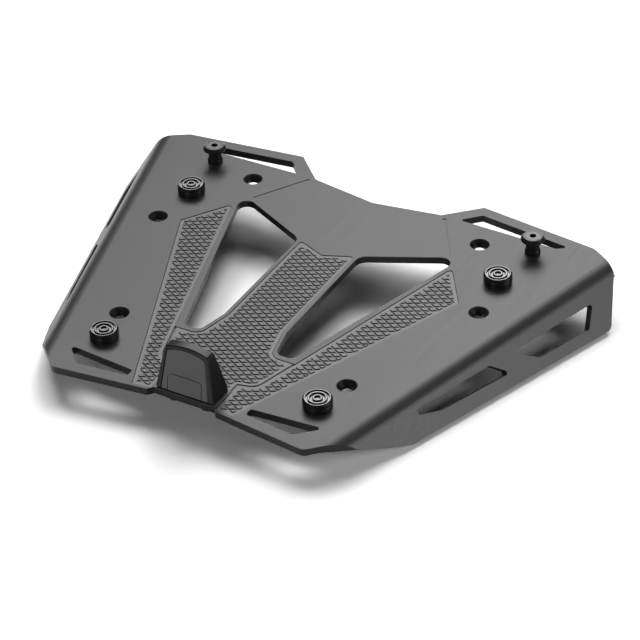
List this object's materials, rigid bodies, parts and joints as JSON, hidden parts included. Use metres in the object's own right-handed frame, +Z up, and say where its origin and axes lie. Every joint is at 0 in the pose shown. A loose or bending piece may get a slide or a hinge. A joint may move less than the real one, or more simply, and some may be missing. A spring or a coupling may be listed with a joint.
{
  "type": "motorcycle luggage rack",
  "caption": "Bent sheet carrier plate for a top case, with inlaid grip pads, rubber buffers, spool studs and a rear catch.",
  "frame": {"origin": "middle of the rack's footprint, level with its lowest edge", "axes": "+X across the rack to the rider's right, +Y towards the studs (the motorcycle's front), +Z up"},
  "size_m": [0.348, 0.2626, 0.0615],
  "materials": {
    "black_sheet": "satin, fine brushed grain under black",
    "grip_moulding": "matte, lozenge grip",
    "buffer_rubber": "matte",
    "stud_metal": "satin",
    "fixing_steel": "satin",
    "catch_plastic": "fine matte",
    "cover_plastic": "fine matte"
  },
  "bodies": {
    "root": {"plate": "black_sheet", "grip_pad_left": "grip_moulding", "grip_pad_right": "grip_moulding", "grip_pad_middle": "grip_moulding", "buffer_front_left": "buffer_rubber", "buffer_front_right": "buffer_rubber", "buffer_rear_left": "buffer_rubber", "buffer_rear_right": "buffer_rubber", "stud_left": "stud_metal", "stud_screw_left": "fixing_steel", "stud_washer_left": "fixing_steel", "stud_nut_left": "fixing_steel", "catch_screw_left": "fixing_steel", "catch_washer_left": "fixing_steel", "stud_right": "stud_metal", "stud_screw_right": "fixing_steel", "stud_washer_right": "fixing_steel", "stud_nut_right": "fixing_steel", "catch_screw_right": "fixing_steel", "catch_washer_right": "fixing_steel", "catch_body": "catch_plastic", "catch_cover": "cover_plastic"}
  },
  "joints": []
}
